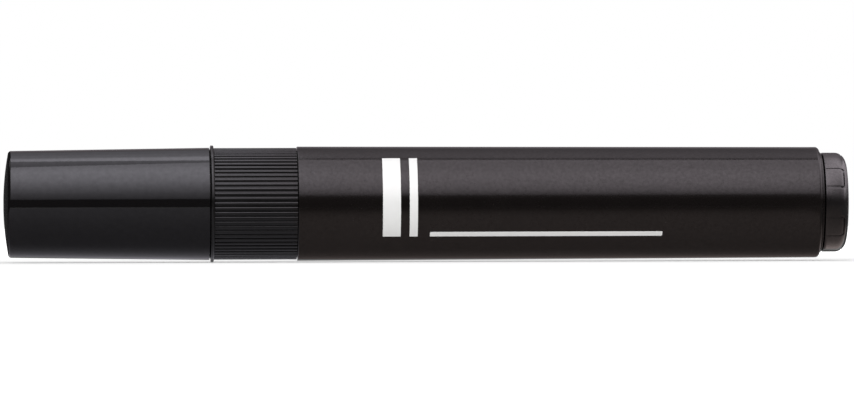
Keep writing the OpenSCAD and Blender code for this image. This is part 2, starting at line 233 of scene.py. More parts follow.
def moulded_plastic(name, colour, pale, gloss, rough, grains, grain_depth, mottles, crest_share=0.4):
    """A moulded plastic that pales in its mottle, with a share of its gloss on the crests of its grain."""
    coat_per_gloss = 2
    mean_grain = 0.5
    material = bpy.data.materials.new(name)
    material.use_nodes = True
    nodes, links = material.node_tree.nodes, material.node_tree.links
    shader = nodes["Principled BSDF"]
    shader.inputs["Specular IOR Level"].default_value = (1 - crest_share) * gloss
    shader.inputs["Coat Roughness"].default_value = sum(rough) / 2
    skin = nodes.new("ShaderNodeGroup")
    skin.node_tree = moulded_skin
    skin.inputs["Grains per metre"].default_value = grains
    skin.inputs["Mottles per metre"].default_value = mottles
    tint = nodes.new("ShaderNodeMix")
    tint.data_type = "RGBA"
    tint.inputs["A"].default_value = (*colour, 1)
    tint.inputs["B"].default_value = (*pale, 1)
    links.new(skin.outputs["Mottle"], tint.inputs["Factor"])
    links.new(tint.outputs["Result"], shader.inputs["Base Color"])
    polish = nodes.new("ShaderNodeMapRange")
    polish.inputs["To Min"].default_value = rough[0]
    polish.inputs["To Max"].default_value = rough[1]
    links.new(skin.outputs["Mottle"], polish.inputs["Value"])
    links.new(polish.outputs["Result"], shader.inputs["Roughness"])
    crests = nodes.new("ShaderNodeMapRange")
    crests.inputs["To Max"].default_value = crest_share * gloss * coat_per_gloss / mean_grain
    links.new(skin.outputs["Grain"], crests.inputs["Value"])
    links.new(crests.outputs["Result"], shader.inputs["Coat Weight"])
    bump = nodes.new("ShaderNodeBump")
    bump.inputs["Distance"].default_value = grain_depth
    bump.inputs["Strength"].default_value = 1
    links.new(skin.outputs["Grain"], bump.inputs["Height"])
    links.new(bump.outputs["Normal"], shader.inputs["Normal"])
    return material


barrel_satin = moulded_plastic(
    "barrel_satin", colour=(0.0045, 0.0036, 0.0034), pale=(0.0068, 0.0055, 0.0052), gloss=0.2,
    rough=(0.09, 0.14), grains=2000, grain_depth=0.01 * mm, mottles=160)
fix_on(barrel, "pen", "barrel", barrel_satin)

# Reservoir: a rod of bundled polyester fibre that holds the ink. It is pulled to size through a die, cut
# off square, and hollowed at its front by the nib's tail that is pushed into it.
core_front, core_end = [corner.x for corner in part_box("reservoir_core")]
core_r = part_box("reservoir_core")[1].y
nib_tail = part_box("nib")[1].x
core_gap = 0.1 * mm
tail_r = 0.85 * mm
tail_point = 2.4 * mm
hole_r = 2.725 * mm
core = turn("reservoir_rod", [
    (nib_tail + core_gap, 0, 0),
    (nib_tail + core_gap, tail_r + core_gap, 0),
    (nib_tail - tail_point + core_gap, hole_r, 0),
    (core_front, hole_r, 0.2 * mm),
    (core_front, core_r, 0.5 * mm),
    (core_end, core_r, 0.5 * mm),
    (core_end, 0, 0),
], closed=False, steps=144)
bpy.ops.object.mode_set(mode="EDIT")


def way_round(place):
    """Degrees round the marker's axis from the top."""
    return math.degrees(math.atan2(place.y, place.z - axis_z))


def off_axis(place):
    """Distance from the marker's axis."""
    return math.hypot(place.y, place.z - axis_z)


pick(core, "VERT", lambda place: off_axis(place) > core_r - 0.6 * mm and round(way_round(place) / 2.5) % 2)
bpy.ops.transform.resize(value=(1, 0.985, 0.985), center_override=(0, 0, axis_z))
bpy.ops.object.mode_set(mode="OBJECT")

# Drawn fibre: fine threads that run along the marker, each its own shade.
fibre_lines, fibre_in, fibre_out = new_group("fibre_lines", ("Threads per metre",), ("Threads", "Shade"))
place = fibre_lines.nodes.new("ShaderNodeTexCoord")
drawn = fibre_lines.nodes.new("ShaderNodeMapping")
drawn.inputs["Scale"].default_value = (0.04, 1, 1)
fibre_lines.links.new(place.outputs["Object"], drawn.inputs["Vector"])
for output, detail in (("Threads", 4), ("Shade", 0)):
    noise = fibre_lines.nodes.new("ShaderNodeTexNoise")
    noise.inputs["Detail"].default_value = detail
    fibre_lines.links.new(drawn.outputs["Vector"], noise.inputs["Vector"])
    fibre_lines.links.new(fibre_in.outputs["Threads per metre"], noise.inputs["Scale"])
    fibre_lines.links.new(noise.outputs["Fac"], fibre_out.inputs[output])


def inked_fibre(name, colour, pale, threads, depth):
    """Fibre soaked with ink: dark threads, matt, that run along the marker."""
    material = bpy.data.materials.new(name)
    material.use_nodes = True
    nodes, links = material.node_tree.nodes, material.node_tree.links
    shader = nodes["Principled BSDF"]
    shader.inputs["Roughness"].default_value = 0.85
    shader.inputs["Specular IOR Level"].default_value = 0.3
    fibre = nodes.new("ShaderNodeGroup")
    fibre.node_tree = fibre_lines
    fibre.inputs["Threads per metre"].default_value = threads
    tint = nodes.new("ShaderNodeMix")
    tint.data_type = "RGBA"
    tint.inputs["A"].default_value = (*colour, 1)
    tint.inputs["B"].default_value = (*pale, 1)
    links.new(fibre.outputs["Shade"], tint.inputs["Factor"])
    links.new(tint.outputs["Result"], shader.inputs["Base Color"])
    bump = nodes.new("ShaderNodeBump")
    bump.inputs["Distance"].default_value = depth
    links.new(fibre.outputs["Threads"], bump.inputs["Height"])
    links.new(bump.outputs["Normal"], shader.inputs["Normal"])
    return material


core_fibre = inked_fibre(
    "core_fibre", colour=(0.008, 0.008, 0.012), pale=(0.04, 0.04, 0.05), threads=3200, depth=0.12 * mm)
fix_on(core, "pen", "reservoir_core", core_fibre)

# Reservoir wrap: a thin pale film rolled round the fibre rod and sealed along one lapped seam, which
# keeps the ink off the barrel's wall. It stops short of the rod's two ends.
wrap_front, wrap_end = [corner.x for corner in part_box("reservoir_wrap")]
wrap_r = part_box("reservoir_wrap")[1].y
wrap_t = 0.15 * mm
wrap = turn("reservoir_sleeve", [
    (wrap_front, wrap_r, 0),
    (wrap_end, wrap_r, 0),
    (wrap_end, wrap_r - wrap_t, 0),
    (wrap_front, wrap_r - wrap_t, 0),
], steps=96)
bpy.ops.object.mode_set(mode="EDIT")
pick(wrap, "FACE", lambda place: off_axis(place) > wrap_r - 0.02 * mm and abs(way_round(place)) < 16)
bpy.ops.mesh.extrude_region_shrink_fatten(TRANSFORM_OT_shrink_fatten={"value": 0.04 * mm})
bpy.ops.object.mode_set(mode="OBJECT")
wrap_film = moulded_plastic(
    "wrap_film", colour=(0.52, 0.54, 0.56), pale=(0.66, 0.68, 0.7), gloss=0.5,
    rough=(0.12, 0.3), grains=900, grain_depth=0.004 * mm, mottles=90)
fix_on(wrap, "pen", "reservoir_wrap", wrap_film)

# Grip section: the front moulding, satin black polypropylene. It carries the ribs that the fingers hold,
# the flange that stops the cap, the spigot that the cap closes on, the nose round the nib, and the skirt
# that the barrel is pressed onto.
nose_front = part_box("grip_section")[0].x
flange_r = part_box("grip_section")[1].y - 0.004 * mm
flange_front = barrel_front - 13.7 * mm
flange_back = flange_front + 0.5 * mm
stop_front = flange_front - 0.1 * mm
stop_r = barrel_r - 0.2 * mm
spigot_r = barrel_r - 1.27 * mm
nose_r = spigot_r - 2.3 * mm
nose_end = nose_front + 6.5 * mm
spigot_x = nose_end + 2.2 * mm
bead_x = flange_front - 3.3 * mm
skirt_r = barrel_bore_r - 0.04 * mm
skirt_bore_r = skirt_r - 1.1 * mm
chamber_x = spigot_x + 1.1 * mm
tube_r = 3.825 * mm
tube_end = flange_front + 3.5 * mm
rib_count = 70
rib_half = math.pi / rib_count
rib_crest_r = barrel_r - 0.2 * mm
rib_root_r = rib_crest_r - 0.28 * mm
rib_front = flange_back + 0.06 * mm
rib_back = barrel_front - 0.1 * mm
rib_seam = 0.04 * mm
grip_steps = 3 * rib_count
grip = turn("grip_moulding", [
    (nose_front, 0, 0),
    (nose_front, nose_r, 0.5 * mm),
    (nose_end, nose_r, 0.8 * mm),
    (spigot_x, spigot_r, 0.5 * mm),
    (bead_x - 0.7 * mm, spigot_r, 0.3 * mm),
    (bead_x, spigot_r + 0.07 * mm, 1.4 * mm),
    (bead_x + 0.7 * mm, spigot_r, 0.3 * mm),
    (stop_front, spigot_r, 0),
    (stop_front, stop_r - 0.25 * mm, 0),
    (flange_front, stop_r, 0),
    (flange_front, flange_r, 0.14 * mm),
    (flange_back, flange_r, 0.14 * mm),
    (flange_back, rib_root_r, 0),
    (rib_front - rib_seam, rib_root_r, 0),
], closed=False, steps=grip_steps)
grip_rear = turn("grip_rear", [
    (rib_back + rib_seam, rib_root_r, 0),
    (barrel_front, rib_root_r - 0.17 * mm, 0),
    (barrel_front, skirt_r, 0),
    (skirt_end, skirt_r, 0.5 * mm),
    (skirt_end, skirt_bore_r, 0.2 * mm),
    (chamber_x + 2.2 * mm, skirt_bore_r, 0.8 * mm),
    (chamber_x, tube_r, 0.8 * mm),
    (tube_end, tube_r, 0.2 * mm),
    (tube_end, 0, 0),
], closed=False, steps=grip_steps)

rib_side = (
    (0.3 * mm, 0.004 * mm),
    (0.276 * mm, 0.05 * mm),
    (0.262 * mm, 0.15 * mm),
    (0.238 * mm, 0.196 * mm),
    (0.17 * mm, 0.246 * mm),
    (0.085 * mm, 0.272 * mm),
)
groove = (rib_root_r * math.sin(rib_half), rib_root_r * (math.cos(rib_half) - 1))
rib_crest = (0, rib_crest_r - rib_root_r)
rib_section = [groove, *rib_side, rib_crest] + [(-y, z) for y, z in reversed((groove, *rib_side))]
rib_stop = ((0.02 * mm, 0.97), (0.015 * mm, 0.88), (0.005 * mm, 0.02))
stop_run = sum(step for step, height in rib_stop)
rib_places = [Vector((rib_front + stop_run, y, axis_z + rib_root_r + z)) for y, z in rib_section]
ribs = draw_chain("ribs", rib_places)
bpy.ops.mesh.select_all(action="SELECT")
bpy.ops.mesh.extrude_region_move(
    TRANSFORM_OT_translate={"value": (rib_back - rib_front - 2 * stop_run, 0, 0)})
for start, way in ((rib_back - stop_run, 1), (rib_front + stop_run, -1)):
    pick(ribs, "EDGE", lambda place: abs(place.x - start) < touch)
    stood = 1
    for step, height in rib_stop:
        bpy.ops.mesh.extrude_region_move(TRANSFORM_OT_translate={"value": (way * step, 0, 0)})
        bpy.ops.transform.resize(
            value=(1, 1, height / stood), center_override=(0, 0, axis_z + rib_root_r))
        stood = height
copy_round(rib_count)
bpy.ops.mesh.select_all(action="SELECT")
bpy.ops.transform.rotate(value=rib_half, orient_axis="X", center_override=(0, 0, axis_z))
bpy.ops.mesh.remove_doubles(threshold=0.0005 * mm)
bpy.ops.object.mode_set(mode="OBJECT")


def join_shells(piece, *shells):
    """Join other shells to a piece, left in edit mode."""
    choose(piece)
    for shell in shells:
        shell.select_set(True)
    bpy.ops.object.join()
    bpy.ops.object.mode_set(mode="EDIT")


join_shells(grip, ribs, grip_rear)
for seam in ((rib_front - rib_seam, rib_front), (rib_back, rib_back + rib_seam)):
    pick(grip, "EDGE", lambda place: min(abs(place.x - x) for x in seam) < 0.002 * mm)
    bpy.ops.mesh.bridge_edge_loops()
tidy_mesh()
bpy.ops.object.mode_set(mode="OBJECT")

nib_w = 4.6 * mm
nib_t = 3.4 * mm
nib_corner_r = 0.6 * mm
bore_gap = 0.04 * mm
vent_w = 0.8 * mm
vent_h = 0.45 * mm
bore_length = tube_end - nose_front + 2 * mm
bore_middle = ((tube_end + nose_front) / 2, 0, axis_z)
for width, height, corner in (
    (nib_t + 2 * bore_gap, nib_w + 2 * bore_gap, nib_corner_r + bore_gap),
    (nib_t + 2 * vent_h, vent_w, 0.06 * mm),
):
    cutter = add_block(bore_middle, (bore_length, width, height))
    pick(cutter, "EDGE", lambda place: abs(place.x - bore_middle[0]) < close_by)
    bpy.ops.mesh.bevel(offset=corner, segments=6)
    bpy.ops.object.mode_set(mode="OBJECT")
    combine(grip, cutter, "DIFFERENCE")
grip_satin = moulded_plastic(
    "grip_satin", colour=(0.005, 0.0048, 0.0048), pale=(0.008, 0.0076, 0.0076), gloss=0.16,
    rough=(0.1, 0.16), grains=4200, grain_depth=0.003 * mm, mottles=200)
fix_on(grip, "pen", "grip_section", grip_satin)

# Nib: a bar of bonded polyester fibre, ground to a slanted chisel edge and pointed at its tail. It is
# pressed through the nose into the reservoir, which feeds it with ink.
nib_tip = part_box("nib")[0].x
nib_rear = nib_tail - tail_point
slant = math.radians(30)
edge_t = 1.5 * mm
bevel_back = 2 * mm
tail_share = 0.324
nib_middle = (nib_tip + nib_rear) / 2
nib = add_block((nib_middle, 0, axis_z), (nib_rear - nib_tip, nib_t, nib_w))
nib.name = nib.data.name = "nib_bar"
pick(nib, "EDGE", lambda place: abs(place.x - nib_middle) < close_by)
bpy.ops.mesh.bevel(offset=nib_corner_r, segments=6)
pick(nib, "FACE", lambda place: place.x > nib_rear - close_by)
bpy.ops.mesh.extrude_region_move(TRANSFORM_OT_translate={"value": (tail_point, 0, 0)})
bpy.ops.transform.resize(value=(1, tail_share, tail_share), center_override=(nib_tail, 0, axis_z))
forward = Vector((-math.cos(slant), 0, -math.sin(slant)))
edge_place = Vector((nib_tip, 0, axis_z + nib_w / 2))
bevel_rise = (nib_t - edge_t) / 2 + bore_gap
for side in (0, 1, -1):
    across = Vector((0, side, 0))
    bpy.ops.mesh.select_all(action="SELECT")
    bpy.ops.mesh.bisect(
        plane_co=edge_place + across * edge_t / 2,
        plane_no=(forward * bevel_rise + across * bevel_back).normalized() if side else forward,
        use_fill=True, clear_outer=True,
    )
tidy_mesh()
bpy.ops.object.mode_set(mode="OBJECT")
work(nib, "BEVEL", width=0.22 * mm, segments=4, limit_method="ANGLE", angle_limit=math.radians(24))
nib_felt = inked_fibre(
    "nib_felt", colour=(0.004, 0.004, 0.005), pale=(0.016, 0.016, 0.018), threads=9000, depth=0.05 * mm)
fix_on(nib, "pen", "nib", nib_felt)

# End plug: the stopper that closes the barrel, moulded in a paler satin black. Its head has six panels,
# each outlined by a fine groove. In front of it a skirt snaps into the neck and a cross presses on the
# reservoir.
plug_front = barrel_end
plug_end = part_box("end_plug")[1].x
plug_r = neck_r - 0.05 * mm
plug_foot_r = plug_r - 0.6 * mm
plug_edge_r = 1.75 * mm
seam_x = plug_front + 0.25 * mm
plug_skirt_r = neck_bore_r - 0.04 * mm
plug_bore_r = plug_skirt_r - 1 * mm
plug_skirt_x = barrel_high.x - 9 * mm
plug_inner_x = plug_end - 2.4 * mm
panel_count = 6
panel_turn = math.tau / panel_count
panel_steps = turn_steps // panel_count
panel_half = 13.125
panel_inner = 11.25
panel_front = seam_x + 0.15 * mm
groove_share = 0.989
deep_share = 0.965
surface_share = 0.995
rim_arc = [math.radians(a) for a in (0, 8, 15, 22, 30, 39, 52, 65, 78, 90)]
rim = [
    (plug_end - plug_edge_r * (1 - math.sin(a)), plug_r - plug_edge_r * (1 - math.cos(a)), 0)
    for a in rim_arc
]
groove_rows = [rim[i][0] for i in (4, 5)]
plug = turn("plug_head", [
    (plug_front, plug_foot_r, 0),
    (seam_x, plug_r, 0.1 * mm),
    (panel_front, plug_r, 0),
    *rim,
    (plug_end, plug_r * 0.5, 0),
    (plug_end, 0, 0),
], closed=False, angle=panel_turn, steps=panel_steps)


def from_panel(place):
    """Degrees round the axis from the middle of the plug's first panel."""
    return abs(way_round(place) - math.degrees(panel_turn) / 2)


def head_r(x):
    """Radius of the plug's head, which falls away behind its straight side."""
    back = max(x - plug_end + plug_edge_r, 0)
    return plug_r - plug_edge_r + math.sqrt(plug_edge_r ** 2 - back ** 2)


def on_groove(place):
    """Whether a face of the plug's head lies in the groove round its first panel."""
    beside = from_panel(place) > panel_inner and panel_front < place.x
    behind = groove_rows[0] < place.x
    return from_panel(place) < panel_half and place.x < groove_rows[1] and (beside or behind)


bpy.ops.object.mode_set(mode="EDIT")
pick(plug, "FACE", on_groove)
bpy.ops.mesh.extrude_region_move(TRANSFORM_OT_translate={"value": (0, 0, 0)})
bpy.ops.transform.resize(value=(1, groove_share, groove_share), center_override=(0, 0, axis_z))
for angle, x, corner_r in ((panel_half, groove_rows[1], 0.5 * mm), (panel_inner, groove_rows[0], 0.3 * mm)):
    pick(plug, "EDGE", lambda place: abs(from_panel(place) - angle) < 0.1 and abs(place.x - x) < close_by)
    bpy.ops.mesh.bevel(offset=corner_r, segments=4)


def below_panel_edge(place):
    """Whether a corner lies on the rear groove's floor, on the side of the panel."""
    deep = off_axis(place) < surface_share * head_r(place.x)
    rear = groove_rows[0] - 0.3 * mm < place.x < sum(groove_rows) / 2
    return deep and rear and from_panel(place) < (panel_inner + panel_half) / 2


def on_head(place):
    """Whether an edge lies on the surface of the plug's head, behind its front corner."""
    return off_axis(place) > surface_share * head_r(place.x) and place.x > seam_x + 0.12 * mm


pick(plug, "VERT", below_panel_edge)
bpy.ops.transform.resize(value=(1, deep_share, deep_share), center_override=(0, 0, axis_z))
bpy.ops.mesh.select_all(action="DESELECT")
bpy.ops.mesh.select_mode(type="EDGE")
bpy.ops.mesh.edges_select_sharp(sharpness=math.radians(50))
pick(plug, "EDGE", on_head, of_chosen=True)
bpy.ops.mesh.bevel(offset=0.035 * mm, segments=2)
copy_round(panel_count)
bpy.ops.mesh.select_all(action="SELECT")
bpy.ops.transform.rotate(value=panel_turn / 2, orient_axis="X", center_override=(0, 0, axis_z))
bpy.ops.object.mode_set(mode="OBJECT")
plug_bead_x = ledge_x - 0.04 * mm
plug_stem = turn("plug_stem", [
    (plug_front, plug_foot_r, 0),
    (plug_front, plug_skirt_r, 0),
    (plug_bead_x, plug_skirt_r, 0),
    (plug_bead_x - 0.5 * mm, plug_skirt_r + 0.2 * mm, 0.15 * mm),
    (plug_bead_x - 1.5 * mm, plug_skirt_r, 0),
    (plug_skirt_x, plug_skirt_r, 0.5 * mm),
    (plug_skirt_x, plug_bore_r, 0.2 * mm),
    (plug_inner_x, plug_bore_r, 0.8 * mm),
    (plug_inner_x, 0, 0),
], closed=False)
join_shells(plug, plug_stem)
tidy_mesh()
bpy.ops.object.mode_set(mode="OBJECT")
cross_front = plug_skirt_x - 1 * mm
cross_back = plug_inner_x + 0.3 * mm
cross_t = 1 * mm
cross_reach = plug_bore_r + 0.3 * mm - cross_t / 2
cross_middle = Vector(((cross_front + cross_back) / 2, 0, axis_z))
cross = add_block(cross_middle, (cross_back - cross_front, cross_t, cross_t))
for way in (Vector((0, 1, 0)), Vector((0, -1, 0)), Vector((0, 0, 1)), Vector((0, 0, -1))):
    pick(cross, "FACE", lambda place: (place - cross_middle - way * cross_t / 2).length < close_by)
    bpy.ops.mesh.extrude_region_move(TRANSFORM_OT_translate={"value": way * cross_reach})
bpy.ops.mesh.edges_select_sharp(sharpness=math.radians(50))
pick(cross, "EDGE", lambda place: place.x < cross_front + close_by, of_chosen=True)
bpy.ops.mesh.bevel(offset=0.15 * mm, segments=2)
bpy.ops.object.mode_set(mode="OBJECT")
combine(plug, cross, "UNION")
plug_satin = moulded_plastic(
    "plug_satin", colour=(0.0052, 0.0045, 0.0045), pale=(0.0076, 0.0066, 0.0066), gloss=0.42,
    rough=(0.16, 0.23), grains=3600, grain_depth=0.004 * mm, mottles=260)
fix_on(plug, "pen", "end_plug", plug_satin)

# Cap liner: a soft cup of natural polyethylene pressed into the cap. Its three rings grip the cap's
# chamber, and its lip slides over the marker's nose and seals it, so that the nib doesn't dry.
liner_front, liner_end = [corner.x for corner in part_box("cap_liner")]
ring_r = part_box("cap_liner")[1].y
lip_r = nose_r + 0.05 * mm
liner_bore_r = lip_r + 0.1 * mm
liner_r = liner_bore_r + 0.7 * mm
liner_floor = liner_front + 0.8 * mm
lip_edge = 0.35 * mm
ring_w = 1.1 * mm
first_ring = liner_floor
ring_pitch = (liner_end - ring_w - first_ring) / 2
liner_outline = [(liner_front, 0, 0), (liner_front, liner_r, 0.7 * mm)]
for ring in range(3):
    ring_x = first_ring + ring * ring_pitch
    liner_outline += [
        (ring_x, liner_r, 0),
        (ring_x, ring_r, 0.2 * mm),
        (ring_x + ring_w, ring_r, 0.2 * mm),
        (ring_x + ring_w, liner_r, 0),
    ]
liner_outline += [
    (liner_end, lip_r + lip_edge, 0.1 * mm),
    (liner_end - lip_edge, lip_r, 0.1 * mm),
    (liner_end - 1.6 * mm, lip_r, 0),
    (liner_end - 2.3 * mm, liner_bore_r, 0),
    (liner_floor, liner_bore_r, 0.8 * mm),
    (liner_floor, 0, 0),
]
liner = turn("liner_cup", liner_outline, closed=False, steps=144)
liner_natural = moulded_plastic(
    "liner_natural", colour=(0.68, 0.66, 0.6), pale=(0.78, 0.76, 0.71), gloss=0.5,
    rough=(0.38, 0.5), grains=2400, grain_depth=0.001 * mm, mottles=120)
fix_on(liner, "cap", "cap_liner", liner_natural)

# Cap: a smooth glossy shell of black polypropylene, tapered to a domed end with the small dimple of its
# moulding gate. It slides over the spigot, and the bead there holds it against the flange.
cap_front, cap_mouth = [corner.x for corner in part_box("cap_shell")]
cap_mouth_r = barrel_r - 0.15 * mm
cap_end_r = cap_mouth_r - 0.425 * mm
cap_bore_r = cap_mouth_r - 1 * mm
cap_chamber_r = cap_end_r - 1.25 * mm
cap_floor = cap_front + 2.1 * mm
cap_rise = 0.8 * mm
dome_r = (cap_end_r ** 2 + cap_rise ** 2) / (2 * cap_rise)
bore_x = spigot_x - 0.5 * mm
cap_chamber_x = bore_x - cap_bore_r + cap_chamber_r
gate_r = 0.8 * mm
gate_rim_r = gate_r + 0.1 * mm
gate_x = cap_front + 0.1 * mm
dome_steps = 14
dome_rings = [cap_end_r * i / dome_steps for i in range(2, dome_steps - 1)]


def dome_x(r):
    """Where the cap's domed end stands at a distance from the axis."""
    return cap_front + dome_r - math.sqrt(dome_r ** 2 - r ** 2)


cap = turn("cap_moulding", [
    (gate_x, 0, 0),
    (gate_x, gate_r, 0.04 * mm),
    (dome_x(gate_rim_r), gate_rim_r, 0.06 * mm),
    *[(dome_x(r), r, 0) for r in dome_rings],
    (cap_front + cap_rise, cap_end_r, 0.5 * mm),
    (cap_mouth, cap_mouth_r, 0.1 * mm),
    (cap_mouth, cap_bore_r, 0.2 * mm),
    (bore_x, cap_bore_r, 0.2 * mm),
    (cap_chamber_x, cap_chamber_r, 0.2 * mm),
    (cap_floor, cap_chamber_r, 0.8 * mm),
    (cap_floor, 0, 0),
], closed=False)
cap_gloss = moulded_plastic(
    "cap_gloss", colour=(0.004, 0.0036, 0.0038), pale=(0.0056, 0.005, 0.0053), gloss=0.2,
    rough=(0.03, 0.06), grains=1300, grain_depth=0.004 * mm, mottles=90, crest_share=0.24)
fix_on(cap, "cap", "cap_shell", cap_gloss)

# Print: a sample of the lines that the nib draws, two upright bars and one long fine stroke with slanted
# ends, screen printed on the barrel in white ink that stands a little proud of the grain.
ink_t = 0.018 * mm
ink_lift = 0.002 * mm
print_low = -5.2 * mm
print_high = 7.1 * mm
strokes = []
for name, left, right, low, high, slant in (
    ("broad_bar", -7 * mm, -4.3 * mm, print_low, print_high, 0),
    ("narrow_bar", -2.8 * mm, -1.6 * mm, print_low, print_high, 0),
    ("fine_stroke", 0.4 * mm, 37 * mm, print_low, print_low + 0.7 * mm, 14),
):
    bpy.ops.object.select_all(action="DESELECT")
    bpy.ops.mesh.primitive_grid_add(
        x_subdivisions=40, y_subdivisions=60, size=1, rotation=(math.pi / 2, 0, 0),
        location=((left + right) / 2, -barrel_r - 2 * mm, axis_z + (low + high) / 2),
    )
    stroke = bpy.context.object
    stroke.scale = (right - left + 2 * mm, high - low, 1)
    stroke.name = stroke.data.name = name
    bpy.ops.object.transform_apply(location=True, rotation=True, scale=True)
    bpy.ops.object.mode_set(mode="EDIT")
    lean = math.radians(slant)
    for x, way in ((left, -1), (right, 1)):
        bpy.ops.mesh.select_all(action="SELECT")
        bpy.ops.mesh.bisect(
            plane_co=(x, 0, axis_z + (low + high) / 2),
            plane_no=(way * math.cos(lean), 0, -way * math.sin(lean)),
            clear_outer=True,
        )
    bpy.ops.object.mode_set(mode="OBJECT")
    work(
        stroke, "SHRINKWRAP", target=barrel, wrap_method="PROJECT", use_project_y=True,
        use_positive_direction=True, use_negative_direction=True, offset=ink_lift)
    work(stroke, "SOLIDIFY", thickness=ink_t, offset=1)
    strokes.append(stroke)
white_ink = moulded_plastic(
    "white_ink", colour=(0.74, 0.74, 0.73), pale=(0.82, 0.82, 0.81), gloss=0.4,
    rough=(0.35, 0.45), grains=5200, grain_depth=0.0015 * mm, mottles=400)
for stroke in strokes:
    fix_on(stroke, "pen", None, white_ink)

# Studio floor: a pale sheet that the marker lies on. For the camera and in reflections it glows, weakly
# near the marker, which paints shade round it, and up to white away from it, and it keeps the marker's real
# shadow. The room round it is plain white.
bpy.ops.object.select_all(action="DESELECT")
bpy.ops.mesh.primitive_plane_add(size=4, location=(0, 0, 0))
floor = bpy.context.object
floor.name = floor.data.name = "floor"


def seen_rays(nodes, links):
    """A switch that is 1 for what the camera sees, straight or in a reflection or through glass."""
    path = nodes.new("ShaderNodeLightPath")
    switch = path.outputs["Is Camera Ray"]
    for ray in ("Is Glossy Ray", "Is Transmission Ray"):
        either = nodes.new("ShaderNodeMath")
        either.operation = "MAXIMUM"
        links.new(switch, either.inputs[0])
        links.new(path.outputs[ray], either.inputs[1])
        switch = either.outputs[0]
    return switch


pale_sheet = bpy.data.materials.new("pale_sheet")
pale_sheet.use_nodes = True
nodes, links = pale_sheet.node_tree.nodes, pale_sheet.node_tree.links
sheet = nodes["Principled BSDF"]
sheet.inputs["Base Color"].default_value = (0.8, 0.8, 0.8, 1)
sheet.inputs["Roughness"].default_value = 1
sheet.inputs["Specular IOR Level"].default_value = 0
sheet.inputs["Emission Color"].default_value = (1, 1, 1, 1)
place = nodes.new("ShaderNodeTexCoord")
long = nodes.new("ShaderNodeMapping")
long.inputs["Scale"].default_value = (0.5, 1, 1)
links.new(place.outputs["Object"], long.inputs["Vector"])
reach = nodes.new("ShaderNodeVectorMath")
reach.operation = "LENGTH"
links.new(long.outputs["Vector"], reach.inputs[0])
# Painted shade: the floor's glow is 0.3 of white near the marker, rising to white away from it.
painted_shade_ramp = nodes.new("ShaderNodeMapRange")
painted_shade_ramp.interpolation_type = "SMOOTHSTEP"
painted_shade_ramp.inputs["From Min"].default_value = 0.02
painted_shade_ramp.inputs["From Max"].default_value = 0.25
painted_shade_ramp.inputs["To Min"].default_value = 0.3
painted_shade_ramp.inputs["To Max"].default_value = 1
links.new(reach.outputs["Value"], painted_shade_ramp.inputs["Value"])
shown = nodes.new("ShaderNodeMath")
shown.operation = "MULTIPLY"
links.new(painted_shade_ramp.outputs["Result"], shown.inputs[0])
links.new(seen_rays(nodes, links), shown.inputs[1])
links.new(shown.outputs[0], sheet.inputs["Emission Strength"])
floor.data.materials.append(pale_sheet)

world = bpy.data.worlds.new("white_room")
bpy.context.scene.world = world
world.use_nodes = True
nodes, links = world.node_tree.nodes, world.node_tree.links
room = nodes["Background"]
room.inputs["Color"].default_value = (1, 1, 1, 1)
level = nodes.new("ShaderNodeMapRange")
level.inputs["To Min"].default_value = 0.55
level.inputs["To Max"].default_value = 1
links.new(seen_rays(nodes, links), level.inputs["Value"])
links.new(level.outputs["Result"], room.inputs["Strength"])

# Studio lights: one soft lamp in front and above gives the plain light. The rest are painted reflections,
# sheets that glow in the marker's reflections only and light nothing: painted softboxes over the marker,
# each with a weaker strip behind it, and dark painted cards round it.
lamp_out = 0.8
lamp_up = 0.45
soft = bpy.data.lights.new("front_lamp", "AREA")
soft.size = 0.5
soft.energy = 4.8
front_lamp = bpy.data.objects.new("front_lamp", soft)
bpy.context.scene.collection.objects.link(front_lamp)
front_lamp.location = (0, -lamp_out, lamp_up)
front_lamp.rotation_euler = (math.atan2(lamp_out, lamp_up), 0, 0)
front_lamp.visible_glossy = False


def toward(elevation, distance, x):
    """A place at an elevation over the front horizon, in degrees, and a distance from the marker's axis."""
    angle = math.radians(elevation)
    return Vector((x, -distance * math.cos(angle), axis_z + distance * math.sin(angle)))


def on_sheet(elevation, x, start, stop):
    """The place at an elevation on the flat sheet that runs from one elevation and distance to another."""
    axis = Vector((x, 0, axis_z))
    foot = toward(*start, x) - axis
    run = toward(*stop, x) - axis - foot
    ray = toward(elevation, 1, x) - axis
    return axis + foot + run * (foot.y * ray.z - foot.z * ray.y) / (ray.y * run.z - ray.z * run.y)


def painted_reflection_card(name, corners):
    """A flat glowing card with four corners, a painted reflection that lights nothing and only reflections
    show, and its glow's shader, nodes and links.
    """
    sheet = draw_chain(name, corners)
    bpy.ops.mesh.select_all(action="SELECT")
    bpy.ops.mesh.edge_face_add()
    bpy.ops.object.mode_set(mode="OBJECT")
    material = bpy.data.materials.new(name)
    material.use_nodes = True
    nodes, links = material.node_tree.nodes, material.node_tree.links
    nodes.remove(nodes["Principled BSDF"])
    glow = nodes.new("ShaderNodeEmission")
    links.new(glow.outputs["Emission"], nodes["Material Output"].inputs["Surface"])
    sheet.data.materials.append(material)
    for hidden in ("visible_camera", "visible_diffuse", "visible_transmission", "visible_shadow"):
        setattr(sheet, hidden, False)
    return glow, nodes, links


join_x = -0.013
flag_join_x = -0.028
floor_join_x = -0.034
left_x = -0.125
right_x = 0.2


def on_floor(front):
    """The elevation and distance of a place just over the floor, so far in front of the marker's axis."""
    height = axis_z - 0.5 * mm
    return -math.degrees(math.atan2(height, front)), math.hypot(height, front)


